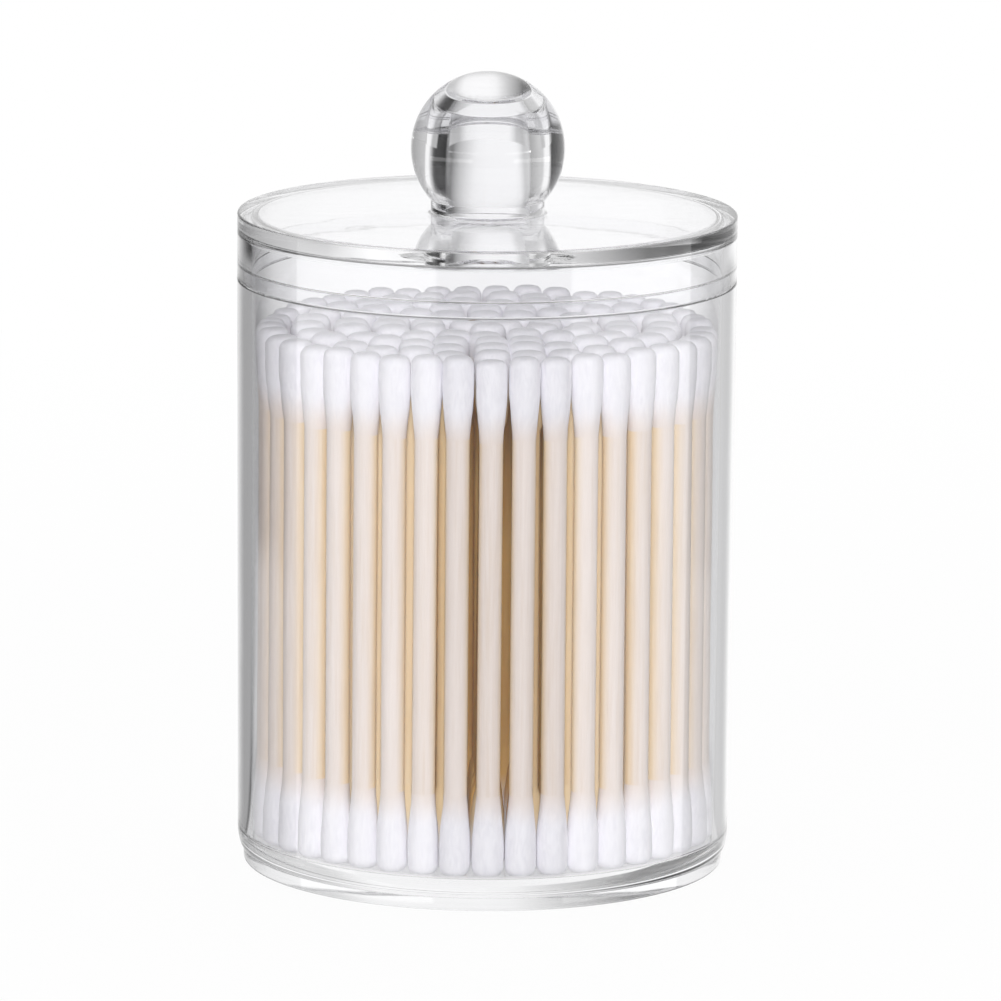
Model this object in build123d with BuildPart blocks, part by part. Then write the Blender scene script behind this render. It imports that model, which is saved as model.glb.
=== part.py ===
"""A clear plastic jar of cotton swabs with a lift-off lid that ends in a ball knob.

Millimetres, +Z up. The origin is the middle of the foot that the jar stands on.
"""
import os
from math import asin, floor, pi, sqrt

from build123d import *

os.makedirs("parts", exist_ok=True)

# Jar
outside_radius = 36.0        # the jar's wall and the lid's skirt are flush
wall_thickness = 2.15
swab_headroom = 5.95         # from the tops of the swabs to the shoulder, where the wall ends outside
lip_height = 2.2             # the thin lip that stands on the shoulder
lip_thickness = 1.05
floor_thickness = 4.45
foot_height = 1.9
foot_inset = 1.15            # how far the foot stands in from the wall
foot_edge = 0.3              # broken edge that stands on the table
heel_height = 3.0            # rounded stretch between the foot and the wall

# Lid
lid_height = 7.4             # from the ledge that rests on the lip to the top
plate_thickness = 2.4
skirt_thickness = 2.15
lid_corner = 1.0             # inside corner between plate and skirt
lid_edge = 0.35              # broken upper edge
lip_side_clearance = 0.15
seam_clearance = 0.15        # open line between the lid and the shoulder

# Knob, one piece with the lid
ball_radius = 11.1
neck_radius = 8.2
neck_height = 1.8            # from the plate to where the ball begins
core_radius = 6.1            # blind hole up from under the plate, at its mouth
core_depth = 18.1
core_shoulder = 3.5          # height over which the core narrows to its flat end
core_end_radius = 4.6

# Cotton swabs: straight wooden sticks with cotton wound on both ends
swab_length = 75.0
stick_diameter = 3.0
head_diameter = 4.4
head_length = 12.5
head_taper = 3.0             # degrees that a head narrows towards the stick
side_gap = 0.35              # from the outer ring of heads to the wall
ring_gap = 1.15              # from the heads of one ring to those of the next
outer_ring_gap = 0.1         # least gap between neighbours in the outer ring
inner_ring_gap = 1.1         # least gap between neighbours in the other rings
first_angle = -88.65         # where each ring starts, degrees from +X
side_count = 5               # the round sticks and heads are drawn with few sides

# Heights and radii that follow
shoulder_height = floor_thickness + swab_length + swab_headroom
lip_top = shoulder_height + lip_height
lid_top = lip_top + lid_height
plate_underside = lid_top - plate_thickness
core_end = plate_underside + core_depth
neck_top = lid_top + neck_height
ball_centre = neck_top + sqrt(ball_radius**2 - neck_radius**2)

bore_radius = outside_radius - wall_thickness
lip_radius = bore_radius + lip_thickness
foot_radius = outside_radius - foot_inset
heel_top = foot_height + heel_height
lid_bore_radius = outside_radius - skirt_thickness

swab_middle = floor_thickness + swab_length / 2
stick_length = swab_length - 2 * head_length
outer_ring_radius = bore_radius - side_gap - head_diameter / 2
ring_spacing = head_diameter + ring_gap
ring_count = floor(outer_ring_radius / ring_spacing) + 1
inner_ring_radius = outer_ring_radius - (ring_count - 1) * ring_spacing


# The jar, moulded in one piece
with BuildPart() as jar_body:
    with BuildSketch(Plane.XZ):
        with BuildLine():
            Polyline(
                (0, floor_thickness),
                (0, 0),
                (foot_radius - foot_edge, 0),
                (foot_radius, foot_edge),
                (foot_radius, foot_height),
            )
            TangentArc(
                (outside_radius, heel_top),
                (foot_radius, foot_height),
                tangent=(0, -1),
            )
            Polyline(
                (outside_radius, heel_top),
                (outside_radius, shoulder_height),
                (lip_radius, shoulder_height),
                (lip_radius, lip_top),
                (bore_radius, lip_top),
                (bore_radius, floor_thickness),
                (0, floor_thickness),
            )
        make_face()
    revolve(axis=Axis.Z)
jar_body.part.label = "jar_body"
export_step(jar_body.part, "parts/jar_body.step")


# The lid: plate, skirt, neck and ball in one piece, with a core up the middle
with BuildPart() as lid:
    with BuildSketch(Plane.XZ):
        with BuildLine():
            Polyline(
                (core_radius, plate_underside),
                (lid_bore_radius - lid_corner, plate_underside),
                (lid_bore_radius, plate_underside - lid_corner),
                (lid_bore_radius, lip_top),
                (lip_radius + lip_side_clearance, lip_top),
                (lip_radius + lip_side_clearance, shoulder_height + seam_clearance),
                (outside_radius, shoulder_height + seam_clearance),
                (outside_radius, lid_top - lid_edge),
                (outside_radius - lid_edge, lid_top),
                (neck_radius, lid_top),
                (neck_radius, neck_top),
            )
            ThreePointArc(
                (neck_radius, neck_top),
                (ball_radius, ball_centre),
                (0, ball_centre + ball_radius),
            )
            Polyline(
                (0, ball_centre + ball_radius),
                (0, core_end),
                (core_end_radius, core_end),
                (core_radius, core_end - core_shoulder),
                (core_radius, plate_underside),
            )
        make_face()
    revolve(axis=Axis.Z)
lid.part.label = "lid"
export_step(lid.part, "parts/lid.step")


def swabs_in_ring(radius, gap):
    """How many swabs stand in a ring of this radius with at least this gap between their heads."""
    half_pitch = (head_diameter + gap) / 2
    return max(1, floor(pi / asin(half_pitch / radius)))


# The swabs stand on the floor of the jar in rings, the last one against the wall
for ring in range(1, ring_count + 1):
    ring_radius = inner_ring_radius + (ring - 1) * ring_spacing
    least_gap = inner_ring_gap if ring < ring_count else outer_ring_gap
    count = swabs_in_ring(ring_radius, least_gap)

    with BuildPart() as lower_cotton:
        with BuildSketch(Plane.XY.offset(floor_thickness)):
            with PolarLocations(ring_radius, count, start_angle=first_angle):
                RegularPolygon(head_diameter / 2, side_count)
        extrude(amount=head_length, taper=head_taper)
    lower_cotton.part.label = f"lower_cotton_ring_{ring}"
    export_step(lower_cotton.part, f"parts/{lower_cotton.part.label}.step")

    with BuildPart() as sticks:
        with BuildSketch(Plane.XY.offset(floor_thickness + head_length)):
            with PolarLocations(ring_radius, count, start_angle=first_angle):
                RegularPolygon(stick_diameter / 2, side_count)
        extrude(amount=stick_length)
    sticks.part.label = f"sticks_ring_{ring}"
    export_step(sticks.part, f"parts/{sticks.part.label}.step")

    with BuildPart() as upper_cotton:
        mirror(lower_cotton.part, about=Plane.XY.offset(swab_middle))
    upper_cotton.part.label = f"upper_cotton_ring_{ring}"
    export_step(upper_cotton.part, f"parts/{upper_cotton.part.label}.step")
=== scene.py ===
"""Looks of the cotton swab jar: clear plastic, wood and cotton, and the studio around it.

Metres, +Z up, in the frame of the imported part. The photograph looks along +Y.
"""
from collections import namedtuple
from math import asin, atan2, cos, floor, pi, radians, sin, sqrt
from random import Random

import bmesh
import bpy
from mathutils import Matrix, Vector, noise


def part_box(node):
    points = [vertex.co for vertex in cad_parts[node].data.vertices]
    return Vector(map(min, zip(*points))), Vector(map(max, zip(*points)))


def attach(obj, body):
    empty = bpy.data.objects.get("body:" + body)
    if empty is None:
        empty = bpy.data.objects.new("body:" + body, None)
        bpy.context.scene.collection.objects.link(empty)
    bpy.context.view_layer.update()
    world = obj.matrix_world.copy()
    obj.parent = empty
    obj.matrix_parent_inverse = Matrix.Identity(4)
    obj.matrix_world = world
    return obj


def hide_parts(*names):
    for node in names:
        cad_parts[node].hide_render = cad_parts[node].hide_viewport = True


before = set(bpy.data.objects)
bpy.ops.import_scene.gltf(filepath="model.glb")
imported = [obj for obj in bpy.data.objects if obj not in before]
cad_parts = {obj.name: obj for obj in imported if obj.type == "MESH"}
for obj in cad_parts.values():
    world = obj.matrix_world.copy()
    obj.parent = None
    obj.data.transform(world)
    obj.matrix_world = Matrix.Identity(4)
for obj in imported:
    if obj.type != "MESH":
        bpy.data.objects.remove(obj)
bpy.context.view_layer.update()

mm = 0.001

# Places read from the frame
jar_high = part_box("jar_body")[1]
lid_low, lid_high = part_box("lid")
swab_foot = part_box("lower_cotton_ring_6")[0].z
swab_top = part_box("upper_cotton_ring_6")[1].z
swab_middle = (swab_foot + swab_top) / 2

outside = jar_high.x                 # radius of the jar and of the lid
lip_top = jar_high.z
lid_foot = lid_low.z                 # lower edge of the lid's outer lip
ball_top = lid_high.z

# Sizes of the jar
wall = 2.15 * mm
bore = outside - wall
lip_radius = bore + 1.05 * mm
shoulder = lip_top - 2.2 * mm
draft = 0.3 * mm                     # how much narrower the wall is at the heel
foot_radius = outside - 1.15 * mm
foot_height = 1.9 * mm
heel_height = 3.0 * mm

# Sizes of the lid
lid_top = lip_top + 7.4 * mm
plate = 2.4 * mm
lid_lip_bore = lip_radius + 0.15 * mm
ball_radius = 11.1 * mm
ball_middle = ball_top - ball_radius
neck_radius = 8.2 * mm
core_radius = 6.1 * mm
core_top = lid_top - plate + 18.1 * mm
core_end_radius = 4.9 * mm
core_shoulder = 1.4 * mm             # height over which the core narrows to its end

turned_segments = 256

# Sizes of the swabs
head_radius = 2.2 * mm
head_length = 12.5 * mm
head_air = 0.12 * mm                 # under the lower heads, as faces in one plane show dark ovals
stick_radius = 1.65 * mm
ring_spacing = 5.55 * mm
ring_count = 6
outer_ring = bore - 0.35 * mm - head_radius
outer_ring_gap = 0.1 * mm            # least gap between neighbours in the outer ring
inner_ring_gap = 1.1 * mm
first_angle = radians(-88.65)
swab_sides = 22                      # one number, so that cotton meets stick in a clean ring

# Colours
WHITE = (1.0, 1.0, 1.0, 1.0)
PALE_WOOD = (0.84, 0.75, 0.69)       # outer faces of the outer ring
WARM_SHADE_WOOD = (0.92, 0.74, 0.46)       # painted warm shade: the second ring, and the sides of the outer one
DEEP_SHADE_WOOD = (0.97, 0.64, 0.22)       # painted amber shade further in


# Helpers for nodes

COLOUR_A, COLOUR_B, COLOUR_OUT = 6, 7, 2     # sockets of a Mix node set to colours


def new_material(name):
    """A node material with one Principled shader on its output."""
    material = bpy.data.materials.new(name)
    material.use_nodes = True
    tree = material.node_tree
    return material, tree, tree.nodes["Principled BSDF"]


def add_node(tree, kind, **values):
    """A node with its properties and unlinked inputs set by name."""
    node = tree.nodes.new(kind)
    for key, value in values.items():
        if key in node.inputs:
            node.inputs[key].default_value = value
        else:
            setattr(node, key, value)
    return node


def math_node(tree, operation, a, b=None):
    """The result of a sum on numbers or sockets."""
    node = tree.nodes.new("ShaderNodeMath")
    node.operation = operation
    for socket, value in zip(node.inputs, (a, b)):
        if isinstance(value, (int, float)):
            socket.default_value = value
        elif value is not None:
            tree.links.new(value, socket)
    return node.outputs[0]


def map_range(tree, value, start, end, to=(0.0, 1.0), smooth=False):
    """A value taken from one range to another and held at its ends."""
    node = add_node(tree, "ShaderNodeMapRange", **{
        "interpolation_type": "SMOOTHSTEP" if smooth else "LINEAR",
        "From Min": start, "From Max": end, "To Min": to[0], "To Max": to[1]})
    tree.links.new(value, node.inputs["Value"])
    return node.outputs["Result"]


def step_between(tree, value, low, high, soft):
    """1 between two values and 0 elsewhere, with soft edges."""
    rise = map_range(tree, value, low - soft, low + soft)
    fall = map_range(tree, value, high - soft, high + soft, to=(1.0, 0.0))
    return math_node(tree, "MULTIPLY", rise, fall)


def noise_node(tree, place, **values):
    """A noise texture at a place, from 0 to 1."""
    node = add_node(tree, "ShaderNodeTexNoise", **values)
    tree.links.new(place, node.inputs["Vector"])
    return node.outputs["Fac"]


def colour_ramp(tree, factor, stops):
    """Colours at positions from 0 to 1."""
    node = tree.nodes.new("ShaderNodeValToRGB")
    elements = node.color_ramp.elements
    while len(elements) < len(stops):
        elements.new(1.0)
    for element, (position, colour) in zip(elements, stops):
        element.position = position
        element.color = (*colour, 1.0)
    tree.links.new(factor, node.inputs[0])
    return node.outputs[0]


def mixed(tree, factor, a, b):
    """Two colours, given as colours or as sockets, mixed by a socket from 0 to 1."""
    node = add_node(tree, "ShaderNodeMix", data_type="RGBA")
    tree.links.new(factor, node.inputs["Factor"])
    for socket, value in ((node.inputs[COLOUR_A], a), (node.inputs[COLOUR_B], b)):
        if isinstance(value, tuple):
            socket.default_value = (*value, 1.0)
        else:
            tree.links.new(value, socket)
    return node.outputs[COLOUR_OUT]


def mixed_shaders(tree, factor, a, b):
    """Two shaders mixed by a socket from 0 to 1."""
    node = tree.nodes.new("ShaderNodeMixShader")
    for socket, value in zip(node.inputs, (factor, a, b)):
        tree.links.new(value, socket)
    return node.outputs[0]


def bump(tree, shader, height, strength, distance):
    """Relief on a shader's surface."""
    node = add_node(tree, "ShaderNodeBump", Strength=strength, Distance=distance)
    tree.links.new(height, node.inputs["Height"])
    tree.links.new(node.outputs["Normal"], shader.inputs["Normal"])


def object_place(tree):
    """Where a point of the object is, in metres."""
    return add_node(tree, "ShaderNodeTexCoord").outputs["Object"]


def split_xyz(tree, place):
    """The X, Y and Z of a place."""
    node = add_node(tree, "ShaderNodeSeparateXYZ")
    tree.links.new(place, node.inputs[0])
    return node.outputs["X"], node.outputs["Y"], node.outputs["Z"]


def stretched(tree, place, along):
    """A place with its height scaled, so that a noise is drawn out along Z."""
    node = add_node(tree, "ShaderNodeMapping")
    node.inputs["Scale"].default_value = (1.0, 1.0, along)
    tree.links.new(place, node.inputs["Vector"])
    return node.outputs[0]


def from_axis(tree, place):
    """How far a point is from the jar's axis, in metres."""
    x, y, _ = split_xyz(tree, place)
    squares = math_node(tree, "ADD", math_node(tree, "MULTIPLY", x, x),
                        math_node(tree, "MULTIPLY", y, y))
    return math_node(tree, "SQRT", squares)


# Materials

def clear_plastic():
    """Polished moulded plastic with a faint swell. Lamps shine through it."""
    material, tree, shader = new_material("clear_plastic")
    shader.inputs["Base Color"].default_value = (0.985, 0.985, 0.995, 1.0)
    shader.inputs["Transmission Weight"].default_value = 1.0
    shader.inputs["IOR"].default_value = 1.49

    place = object_place(tree)
    haze = noise_node(tree, place, Scale=900.0, Detail=0.0)
    tree.links.new(map_range(tree, haze, 0.35, 0.75, to=(0.0, 0.03)), shader.inputs["Roughness"])
    swell = noise_node(tree, place, Scale=110.0, Detail=1.0)
    bump(tree, shader, swell, strength=0.12, distance=0.1 * mm)

    rays = add_node(tree, "ShaderNodeLightPath")
    clear = add_node(tree, "ShaderNodeBsdfTransparent", Color=(0.96, 0.96, 0.965, 1.0))
    surface = mixed_shaders(tree, rays.outputs["Is Shadow Ray"],
                            shader.outputs[0], clear.outputs[0])
    tree.links.new(surface, tree.nodes["Material Output"].inputs["Surface"])
    return material


def past_deep_shade(tree, away):
    """Where the painted deep shade ends: 0 in the rings deep in the jar, 1 from the second ring
    outwards.
    """
    return map_range(tree, away, outer_ring - 1.7 * ring_spacing,
                     outer_ring - 1.2 * ring_spacing, smooth=True)


def wood():
    """Bleached birch with long fine grain, palest on the outer faces; on the sides and in the rings
    further in it is painted warm shade.
    """
    material, tree, shader = new_material("wood")
    place = object_place(tree)
    drawn = stretched(tree, place, 0.035)
    grain = noise_node(tree, drawn, Scale=2600.0, Detail=4.0, Roughness=0.6)
    tone = noise_node(tree, drawn, Scale=180.0, Detail=1.0)
    both = math_node(tree, "ADD", math_node(tree, "MULTIPLY", grain, 0.55),
                     math_node(tree, "MULTIPLY", tone, 0.45))

    def toned(dark, middle, light):
        return colour_ramp(tree, both, [(0.32, dark), (0.50, middle), (0.68, light)])

    # Grain and tone vary at random; the first two ramps are painted warm shade, the third is the
    # wood's own pale colour
    deep = toned((0.92, 0.55, 0.16), DEEP_SHADE_WOOD, (0.98, 0.72, 0.30))
    warm = toned((0.86, 0.66, 0.38), WARM_SHADE_WOOD, (0.95, 0.80, 0.54))
    pale = toned((0.79, 0.68, 0.59), PALE_WOOD, (0.88, 0.80, 0.75))

    # Painted shade: warmer towards the jar's axis, on the sides of the outer sticks and in the
    # rings further in
    away = from_axis(tree, place)
    inner = mixed(tree, past_deep_shade(tree, away), deep, warm)
    unshaded_faces = map_range(tree, away, outer_ring - 0.5 * mm, outer_ring + 1.4 * mm, smooth=True)
    tree.links.new(mixed(tree, unshaded_faces, inner, pale), shader.inputs["Base Color"])
    shader.inputs["Roughness"].default_value = 0.55
    bump(tree, shader, grain, strength=0.35, distance=0.06 * mm)
    return material


def cotton():
    """White wound cotton, a fine tangle of fibres that thins out over the wood where it ends; the
    bare wood of the inner rings is painted warm shade.
    """
    material, tree, shader = new_material("cotton")
    place = object_place(tree)
    drawn = stretched(tree, place, 0.3)
    tangle = noise_node(tree, drawn, Scale=1500.0, Detail=4.0, Roughness=0.6, Distortion=1.0)
    lumps = noise_node(tree, drawn, Scale=420.0, Detail=2.0)
    white = colour_ramp(tree, tangle, [(0.30, (0.85, 0.84, 0.88)), (0.60, (0.93, 0.92, 0.95))])

    away = from_axis(tree, place)
    outer = map_range(tree, away, outer_ring - head_radius - 0.6 * mm, outer_ring - head_radius)
    # Bare wood where the cotton thins, with the same painted warm shade in the inner rings
    inner_shade_wood = mixed(tree, past_deep_shade(tree, away), DEEP_SHADE_WOOD, WARM_SHADE_WOOD)
    bare_wood_and_shade = mixed(tree, outer, inner_shade_wood, PALE_WOOD)

    # The cotton covers the wood from a ragged height on, sooner in the outer ring, so that the
    # inner heads show more painted warm shade near the stick
    _, _, z = split_xyz(tree, place)
    height = math_node(tree, "ABSOLUTE", math_node(tree, "SUBTRACT", z, swab_middle))
    height = math_node(tree, "ADD", height, math_node(tree, "MULTIPLY", lumps, 2.0 * mm))
    height = math_node(tree, "ADD", height, math_node(tree, "MULTIPLY", outer, 4.0 * mm))
    thin_end = swab_top - swab_middle - head_length
    covered = map_range(tree, height, thin_end + 4.8 * mm, thin_end + 10.5 * mm, smooth=True)
    tree.links.new(mixed(tree, covered, bare_wood_and_shade, white), shader.inputs["Base Color"])

    shader.inputs["Roughness"].default_value = 0.95
    shader.inputs["Specular IOR Level"].default_value = 0.1
    tree.links.new(math_node(tree, "MULTIPLY", covered, 0.25), shader.inputs["Sheen Weight"])
    shader.inputs["Sheen Roughness"].default_value = 0.6
    relief = math_node(tree, "ADD", tangle, math_node(tree, "MULTIPLY", lumps, 1.5))
    bump(tree, shader, relief, strength=0.4, distance=0.15 * mm)
    return material


# Turned plastic

def rounded(corners, steps=6):
    """A profile through (radius, height, fillet) corners, with an arc of points at each fillet."""
    points = []
    last = len(corners) - 1
    for i, (x, z, fillet) in enumerate(corners):
        here = Vector((x, z))
        if not fillet or i in (0, last):
            points.append(here)
            continue
        before = (Vector(corners[i - 1][:2]) - here).normalized()
        after = (Vector(corners[i + 1][:2]) - here).normalized()
        half = before.angle(after) / 2
        centre = here + (before + after).normalized() * fillet / sin(half)
        reach = fillet / (sin(half) / cos(half))
        start = here + before * reach - centre
        turn = start.angle_signed(here + after * reach - centre)
        for step in range(steps + 1):
            points.append(centre + Matrix.Rotation(-turn * step / steps, 2) @ start)
    return points


def arc(centre_z, radius, start, end, steps):
    """Points of a circle round (0, centre_z). Angles are in radians, up from the level."""
    angles = [start + (end - start) * i / steps for i in range(steps + 1)]
    return [Vector((radius * cos(a), centre_z + radius * sin(a))) for a in angles]


def new_piece(name, mesh):
    """An object of the scene with this mesh."""
    piece = bpy.data.objects.new(name, mesh)
    bpy.context.scene.collection.objects.link(piece)
    return piece


def turned(name, profile):
    """A closed solid turned about Z from a profile that begins and ends on the axis."""
    shape = bmesh.new()
    rings = []
    for point in profile:
        if point.x < 1e-7:
            rings.append([shape.verts.new((0, 0, point.y))])
            continue
        ring = []
        for i in range(turned_segments):
            a = 2 * pi * i / turned_segments
            ring.append(shape.verts.new((point.x * cos(a), point.x * sin(a), point.y)))
        rings.append(ring)
    for low, high in zip(rings, rings[1:]):
        for i in range(turned_segments):
            j = (i + 1) % turned_segments
            corners = [low[i % len(low)], low[j % len(low)],
                       high[j % len(high)], high[i % len(high)]]
            shape.faces.new(list(dict.fromkeys(corners)))
    bmesh.ops.recalc_face_normals(shape, faces=shape.faces)
    for face in shape.faces:
        face.smooth = True
    mesh = bpy.data.meshes.new(name)
    shape.to_mesh(mesh)
    shape.free()
    mesh.set_sharp_from_angle(angle=radians(35.0))
    piece = new_piece(name, mesh)
    weights = piece.modifiers.new("even_shading", "WEIGHTED_NORMAL")
    weights.keep_sharp = True
    return piece


def jar():
    """The jar: rounded foot and heel, slightly drafted wall, shoulder and thin lip."""
    foot = rounded([
        (0, 0, 0),
        (foot_radius, 0, 0.35 * mm),
        (foot_radius, foot_height, 0),
    ])
    wide = outside - draft
    heel_steps = 12
    heel = []
    for i in range(1, heel_steps + 1):
        a = pi / 2 * i / heel_steps
        heel.append(Vector((foot_radius + (wide - foot_radius) * sin(a),
                            foot_height + heel_height * (1 - cos(a)))))
    wall_top = rounded([
        (wide, foot_height + heel_height, 0),
        (outside, shoulder, 0.15 * mm),
        (lip_radius, shoulder, 0.12 * mm),
        (lip_radius, lip_top, 0.2 * mm),
        (bore, lip_top, 0.2 * mm),
        (bore - draft / 2, swab_foot, 0.6 * mm),
        (0, swab_foot, 0),
    ])
    return turned("jar", foot + heel + wall_top[1:])


def lid():
    """The lid: outer lip, skirt, plate, neck and ball, cored up the middle."""
    neck_top = ball_middle - sqrt(ball_radius**2 - neck_radius**2)
    underside = lid_top - plate
    inside = rounded([
        (0, core_top, 0),
        (core_end_radius, core_top, 0.4 * mm),
        (core_radius, core_top - core_shoulder, 0.5 * mm),
        (core_radius, underside, 0.25 * mm),
        (bore, underside, 1.0 * mm),
        (bore, lip_top, 0.12 * mm),
        (lid_lip_bore, lip_top, 0.1 * mm),
        (lid_lip_bore, lid_foot, 0.12 * mm),
        (outside, lid_foot, 0.15 * mm),
        (outside, lid_top, 0.3 * mm),
        (neck_radius, lid_top, 0.45 * mm),
        (neck_radius, neck_top, 0),
    ])
    ball = arc(ball_middle, ball_radius, atan2(neck_top - ball_middle, neck_radius), pi / 2, 72)
    ball[-1].x = 0
    return turned("lid_and_knob", inside + ball[1:])


# Swabs

Swab = namedtuple("Swab", "foot lean rise seed")


def swabs_in(ring):
    """The swabs of a ring, counted from the middle: where each stands, leans and ends."""
    outer = ring == ring_count
    radius = outer_ring - (ring_count - ring) * ring_spacing
    gap = outer_ring_gap if outer else inner_ring_gap
    count = max(1, floor(pi / asin((head_radius + gap / 2) / radius)))
    spread = 0.1 * mm if outer else 0.4 * mm
    dice = Random(100 + ring)
    swabs = []
    for i in range(count):
        a = first_angle + 2 * pi * i / count
        foot = Vector((radius * cos(a), radius * sin(a), 0))
        lean = Vector((dice.uniform(-1, 1), dice.uniform(-1, 1), 0)) * spread
        lean -= foot.normalized() * spread
        swabs.append(Swab(foot, lean, dice.uniform(-0.5, 0.1) * mm, dice.random() * 1000))
    return swabs


def middle_of(swab, z):
    """The middle of a swab at height z."""
    share = (z - swab_foot) / (swab_top - swab_foot)
    return swab.foot + swab.lean * share + Vector((0, 0, z))


def level_directions(count):
    """Directions all round, from +X."""
    angles = [2 * pi * i / count for i in range(count)]
    return [Vector((cos(a), sin(a), 0)) for a in angles]


outwards = level_directions(swab_sides)


def head_profile(t):
    """Radius of a cotton head at t from its end: blunt rounded end, full belly, long taper."""
    end = 1.4 * mm
    belly = 4.2 * mm
    if t < end:
        u = 1 - t / end
        return head_radius - 1.15 * mm * (1 - sqrt(1 - u * u))
    if t < belly:
        return head_radius
    u = min(1.0, (t - belly) / (head_length + 0.6 * mm - belly))
    ease = u * u * (3 - 2 * u)
    return head_radius + (stick_radius - 0.04 * mm - head_radius) * ease


def tube(shape, rings, round_start=False):
    """Smooth faces between rings of vertices and one over each end. Its rim is sharp or round."""
    for low, high in zip(rings, rings[1:]):
        for i in range(len(low)):
            j = (i + 1) % len(low)
            shape.faces.new((low[i], low[j], high[j], high[i])).smooth = True
    for ring, is_round in ((rings[0], round_start), (rings[-1], False)):
        cap = shape.faces.new(ring)
        cap.smooth = True
        for edge in cap.edges:
            edge.smooth = is_round


def swab_piece(name, shape, material, node):
    """A finished piece in the jar's body that stands in for one node of the CAD."""
    bmesh.ops.recalc_face_normals(shape, faces=shape.faces)
    mesh = bpy.data.meshes.new(name)
    shape.to_mesh(mesh)
    shape.free()
    piece = new_piece(name, mesh)
    mesh.materials.append(material)
    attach(piece, "jar")
    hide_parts(node)


def heads(ring, upper, material):
    """The cotton on the upper or the lower ends of one ring of swabs."""
    stops = [0, 0.15, 0.4, 0.8, 1.2, 1.6, 2.4, 3.3, 4.3, 5.4, 6.6, 7.8, 9.0, 10.2, 11.4, 12.5, 13.1]
    even_from = 11                   # from this stop on, the cotton is even and closes on the stick
    shape = bmesh.new()
    for swab in swabs_in(ring):
        seed = swab.seed + (500 if upper else 0)
        dice = Random(seed)
        girth = dice.uniform(0.98, 1.03) if ring == ring_count else dice.uniform(1.14, 1.22)
        rings = []
        for stop in stops:
            t = stop * mm
            z = swab_top + swab.rise - t if upper else swab_foot + head_air + t
            middle = middle_of(swab, z)
            uneven = stop < even_from
            radius = head_profile(t) * (girth if uneven else 1.0)
            row = []
            for out in outwards:
                swell = 1.0
                if uneven:
                    wobble = noise.noise(Vector((out.x * 1.3, out.y * 1.3, stop * 0.35))
                                         + Vector((seed, 0, 0)))
                    fine = noise.noise(Vector((out.x * 5, out.y * 5, stop * 1.4))
                                       + Vector((0, seed, 0)))
                    swell += 0.035 * wobble + 0.02 * fine
                row.append(shape.verts.new(middle + out * radius * swell))
            rings.append(row)
        tube(shape, rings, round_start=True)
    node = f"{'upper' if upper else 'lower'}_cotton_ring_{ring}"
    swab_piece(f"{node}_wound", shape, material, node)


def sticks(ring, material):
    """The round wooden sticks of one ring of swabs, which run on into the cotton."""
    run_on = 1.5 * mm
    low = swab_foot + head_length - run_on
    high = swab_top - head_length + run_on
    steps = 8
    shape = bmesh.new()
    for swab in swabs_in(ring):
        rings = []
        for step in range(steps + 1):
            middle = middle_of(swab, low + (high - low) * step / steps)
            rings.append([shape.verts.new(middle + out * stick_radius) for out in outwards])
        tube(shape, rings)
    node = f"sticks_ring_{ring}"
    swab_piece(f"{node}_round", shape, material, node)


# Studio

# Light levels of the studio by bearing in degrees, from straight behind the jar, right positive
BEHIND = [
    (-74, 0.04), (-38, 0.02), (-28, 0.10), (-20, 0.38), (-12, 0.65), (-5, 0.95),
    (0, 1.0), (18, 1.0), (28, 0.66), (40, 0.62), (55, 0.5), (72, 0.42),
]
FRONT_FROM = 84                      # beyond this bearing, on both sides, the level is the front's
FRONT_LEVEL = 0.75
FRONT_REFLECTED = 0.3                # share of it that is left in reflections

# The same for the floor near the jar, as the plastic shows it
FLOOR = [
    (-74, 0.04), (-42, 0.02), (-36, 0.46), (-24, 0.46), (-16, 0.50), (-8, 0.9),
    (0, 1.0), (8, 1.0), (15, 0.62), (24, 0.55), (34, 0.64), (40, 0.62), (55, 0.5), (72, 0.42),
]
FLOOR_RADIUS = 2.5
FLOOR_SEEN = (0.56, 0.62)            # from here to there the floor fades out in the plastic
CLOSE_FLOOR = (0.22, 0.30)           # up to here the floor is light at the sides too
CLOSE_LEVEL = 0.8
CLOSE_SIDES = 43                     # bearing from which it is
SHADOWED = (0.12, 0.45)              # over this distance a faint shadow fades to plain white
SHADOW_LEFT = 0.95                   # share of plain white where the shadow is full

CEILING_LEVEL = 0.8
CEILING_IN_PLASTIC = 0.25
CEILING_RISE = (0.35, 0.8)           # height of a direction of length 1 where it comes in

# Two low bright boxes beside the camera, which the plastic shows
BOX_LEVEL = 2.4
BOX_RISE = (-0.245, -0.159)          # lower and upper edge, as for the ceiling
LEFT_BOX = (-157, -82)
RIGHT_BOX = (72, 141)


def bearing_of(tree, right, back):
    """Bearing in degrees, from straight behind and right positive."""
    return math_node(tree, "MULTIPLY", math_node(tree, "ARCTAN2", right, back), 180 / pi)


def by_bearing(tree, bearing, levels):
    """A list of levels behind the jar, and the front level all round the rest."""
    turn = math_node(tree, "ADD", math_node(tree, "DIVIDE", bearing, 360.0), 0.5)
    stops = [(-FRONT_FROM, FRONT_LEVEL)] + levels + [(FRONT_FROM, FRONT_LEVEL)]
    return colour_ramp(tree, turn, [((angle + 180) / 360, (level,) * 3) for angle, level in stops])


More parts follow.
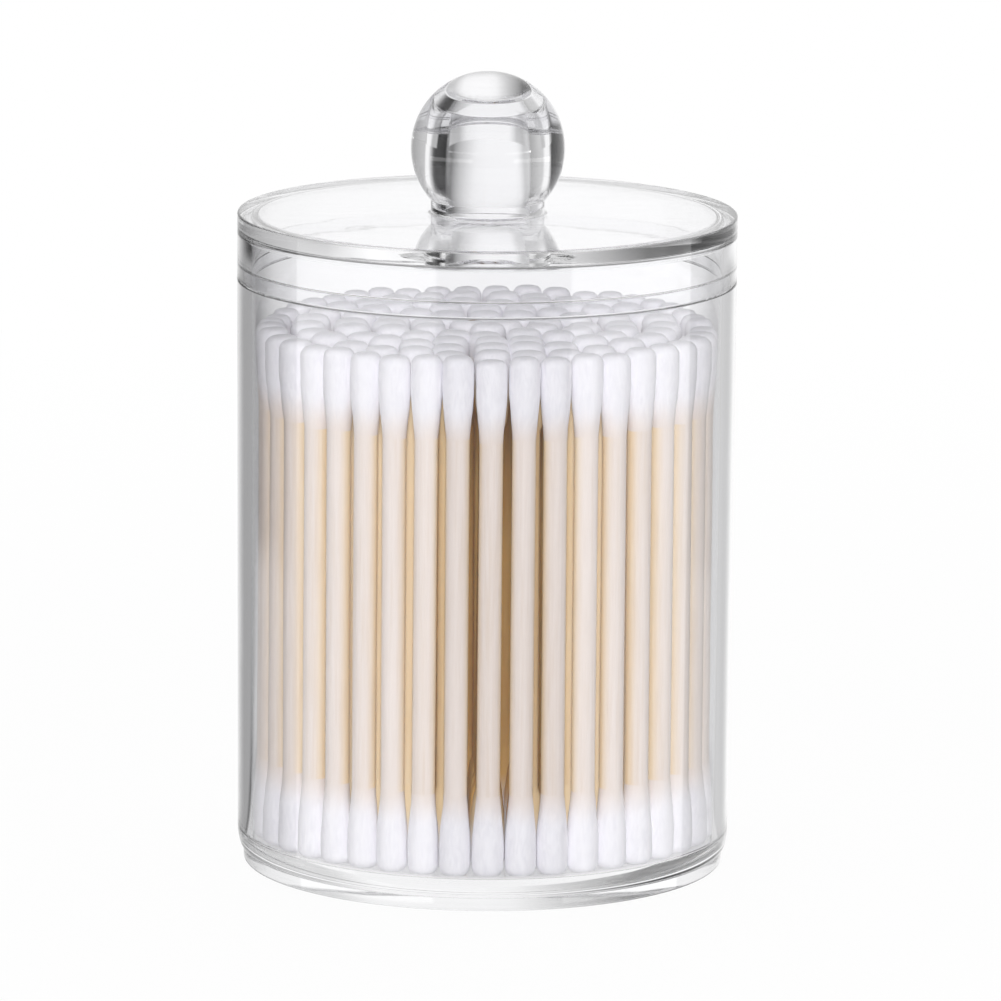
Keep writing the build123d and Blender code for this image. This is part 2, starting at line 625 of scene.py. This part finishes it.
def floor_material():
    """White for the camera, pale for light and, close to the jar, its own levels in the plastic."""
    material, tree, pale = new_material("floor")
    pale.inputs["Base Color"].default_value = (0.85, 0.85, 0.85, 1.0)
    pale.inputs["Roughness"].default_value = 0.9
    pale.inputs["Specular IOR Level"].default_value = 0.0
    place = object_place(tree)
    away = from_axis(tree, place)
    rays = add_node(tree, "ShaderNodeLightPath")

    # In the plastic: bearings count from the jar's sides, so that each side sees its own edge
    x, y, _ = split_xyz(tree, place)
    within = math_node(tree, "MINIMUM", math_node(tree, "MAXIMUM", x, -bore), bore)
    bearing = bearing_of(tree, math_node(tree, "SUBTRACT", x, within), y)
    close = map_range(tree, away, *CLOSE_FLOOR, to=(CLOSE_LEVEL, 0.0), smooth=True)
    sideways = math_node(tree, "SUBTRACT", 1.0,
                         step_between(tree, bearing, -CLOSE_SIDES, CLOSE_SIDES, 3.0))
    lift = math_node(tree, "MULTIPLY", close, sideways)
    glow = add_node(tree, "ShaderNodeEmission", Strength=1.0)
    level = math_node(tree, "MAXIMUM", by_bearing(tree, bearing, FLOOR), lift)
    tree.links.new(level, glow.inputs["Color"])
    clear = add_node(tree, "ShaderNodeBsdfTransparent", Color=WHITE)
    near = map_range(tree, away, *FLOOR_SEEN, to=(1.0, 0.0), smooth=True)
    in_plastic = mixed_shaders(tree, near, clear.outputs[0], glow.outputs[0])
    lit = mixed_shaders(tree, rays.outputs["Is Transmission Ray"], pale.outputs[0], in_plastic)

    # For the camera: nearly plain white, with a trace of the shadow
    white = add_node(tree, "ShaderNodeEmission", Color=WHITE, Strength=1.0)
    share = map_range(tree, away, *SHADOWED, to=(SHADOW_LEFT, 1.0))
    seen = math_node(tree, "MULTIPLY", rays.outputs["Is Camera Ray"], share)
    surface = mixed_shaders(tree, seen, lit, white.outputs[0])
    tree.links.new(surface, tree.nodes["Material Output"].inputs["Surface"])
    return material


def studio_floor():
    """A wide round floor under the jar."""
    shape = bmesh.new()
    bmesh.ops.create_circle(shape, cap_ends=True, segments=96, radius=FLOOR_RADIUS)
    mesh = bpy.data.meshes.new("floor")
    shape.to_mesh(mesh)
    shape.free()
    piece = new_piece("floor", mesh)
    mesh.materials.append(floor_material())
    piece.visible_glossy = False


def softbox(name, bearing, height, distance, wide, high, radiance):
    """A soft lamp that lights the swabs, at a bearing from the camera's side, right positive."""
    data = bpy.data.lights.new(name, "AREA")
    data.shape = "RECTANGLE"
    data.size = wide
    data.size_y = high
    data.energy = radiance * pi * wide * high
    lamp = bpy.data.objects.new(name, data)
    a = radians(-90 + bearing)
    place = Vector((distance * cos(a), distance * sin(a), height))
    aim = Vector((0, 0, 0.05)) - place
    turn = aim.to_track_quat("-Z", "Y").to_matrix().to_4x4()
    lamp.matrix_world = Matrix.Translation(place) @ turn
    lamp.visible_camera = False
    lamp.visible_glossy = False
    lamp.visible_transmission = False
    bpy.context.scene.collection.objects.link(lamp)


def studio_world():
    """White for the camera. For light and in the plastic, levels by bearing, ceiling and boxes."""
    world = bpy.data.worlds.new("studio")
    world.use_nodes = True
    tree = world.node_tree
    tree.nodes.clear()
    way = add_node(tree, "ShaderNodeTexCoord").outputs["Generated"]
    right, back, rise = split_xyz(tree, way)
    bearing = bearing_of(tree, right, back)
    rays = add_node(tree, "ShaderNodeLightPath")
    in_plastic = rays.outputs["Is Transmission Ray"]

    level = add_node(tree, "ShaderNodeMix")
    tree.links.new(map_range(tree, rise, *CEILING_RISE, smooth=True), level.inputs["Factor"])
    tree.links.new(by_bearing(tree, bearing, BEHIND), level.inputs["A"])
    ceiling = map_range(tree, in_plastic, 0.0, 1.0, to=(CEILING_LEVEL, CEILING_IN_PLASTIC))
    tree.links.new(ceiling, level.inputs["B"])
    front_share = map_range(tree, back, -0.1, 0.1, to=(FRONT_REFLECTED, 1.0))
    front_share = math_node(tree, "MAXIMUM", front_share, in_plastic)
    dimmed = math_node(tree, "MULTIPLY", level.outputs["Result"], front_share)

    sides = math_node(tree, "ADD", step_between(tree, bearing, *LEFT_BOX, 1.0),
                      step_between(tree, bearing, *RIGHT_BOX, 1.0))
    boxes = math_node(tree, "MULTIPLY", sides, step_between(tree, rise, *BOX_RISE, 0.002))
    shown = math_node(tree, "MAXIMUM", in_plastic, rays.outputs["Is Glossy Ray"])
    bright = math_node(tree, "MULTIPLY", math_node(tree, "MULTIPLY", boxes, shown), BOX_LEVEL)
    strength = math_node(tree, "MAXIMUM", rays.outputs["Is Camera Ray"],
                         math_node(tree, "MAXIMUM", dimmed, bright))

    background = add_node(tree, "ShaderNodeBackground", Color=WHITE)
    tree.links.new(strength, background.inputs["Strength"])
    out = add_node(tree, "ShaderNodeOutputWorld")
    tree.links.new(background.outputs[0], out.inputs["Surface"])
    bpy.context.scene.world = world


# The photograph's camera, fitted to the lid, the seam and the foot
CAMERA_PLACE = (0, -1.2, 0.28565)
CAMERA_PITCH = radians(10.985)       # downwards
CAMERA_YAW = radians(0.1057)
CAMERA_ROLL = radians(0.4955)
FOCAL_PIXELS, FRAME_PIXELS = 8440.4, 1001
SENSOR = 36.0


def camera():
    """The photograph's view."""
    ahead = Vector((sin(CAMERA_YAW) * cos(CAMERA_PITCH), cos(CAMERA_YAW) * cos(CAMERA_PITCH),
                    -sin(CAMERA_PITCH)))
    right = ahead.cross(Vector((0, 0, 1))).normalized()
    up = right.cross(ahead)
    x_axis = right * cos(CAMERA_ROLL) + up * sin(CAMERA_ROLL)
    y_axis = up * cos(CAMERA_ROLL) - right * sin(CAMERA_ROLL)
    data = bpy.data.cameras.new("camera")
    data.sensor_width = SENSOR
    data.lens = FOCAL_PIXELS / FRAME_PIXELS * SENSOR
    view = bpy.data.objects.new("camera", data)
    turn = Matrix((x_axis, y_axis, -ahead)).transposed().to_4x4()
    view.matrix_world = Matrix.Translation(CAMERA_PLACE) @ turn
    bpy.context.scene.collection.objects.link(view)
    bpy.context.scene.camera = view


# The scene

plastic = clear_plastic()
birch = wood()
white_cotton = cotton()

for piece, body, node in ((jar(), "jar", "jar_body"), (lid(), "lid", "lid")):
    piece.data.materials.append(plastic)
    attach(piece, body)
    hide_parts(node)

for ring in range(1, ring_count + 1):
    heads(ring, False, white_cotton)
    heads(ring, True, white_cotton)
    sticks(ring, birch)

studio_floor()
softbox("key", bearing=0, height=0.45, distance=0.95, wide=0.08, high=0.6, radiance=45.0)
softbox("left_fill", bearing=-45, height=0.35, distance=0.9, wide=0.8, high=0.8, radiance=0.65)
softbox("right_fill", bearing=45, height=0.35, distance=0.9, wide=0.8, high=0.8, radiance=0.65)
softbox("back_fill", bearing=180, height=0.35, distance=0.9, wide=0.8, high=0.8, radiance=1.0)
softbox("overhead", bearing=0, height=1.0, distance=0.05, wide=0.5, high=0.5, radiance=1.6)
studio_world()
camera()

bpy.context.scene.view_settings.view_transform = "Standard"
light_paths = bpy.context.scene.cycles       # light turns many times inside clear plastic
light_paths.max_bounces = light_paths.glossy_bounces = light_paths.transmission_bounces = 24
light_paths.diffuse_bounces = 6
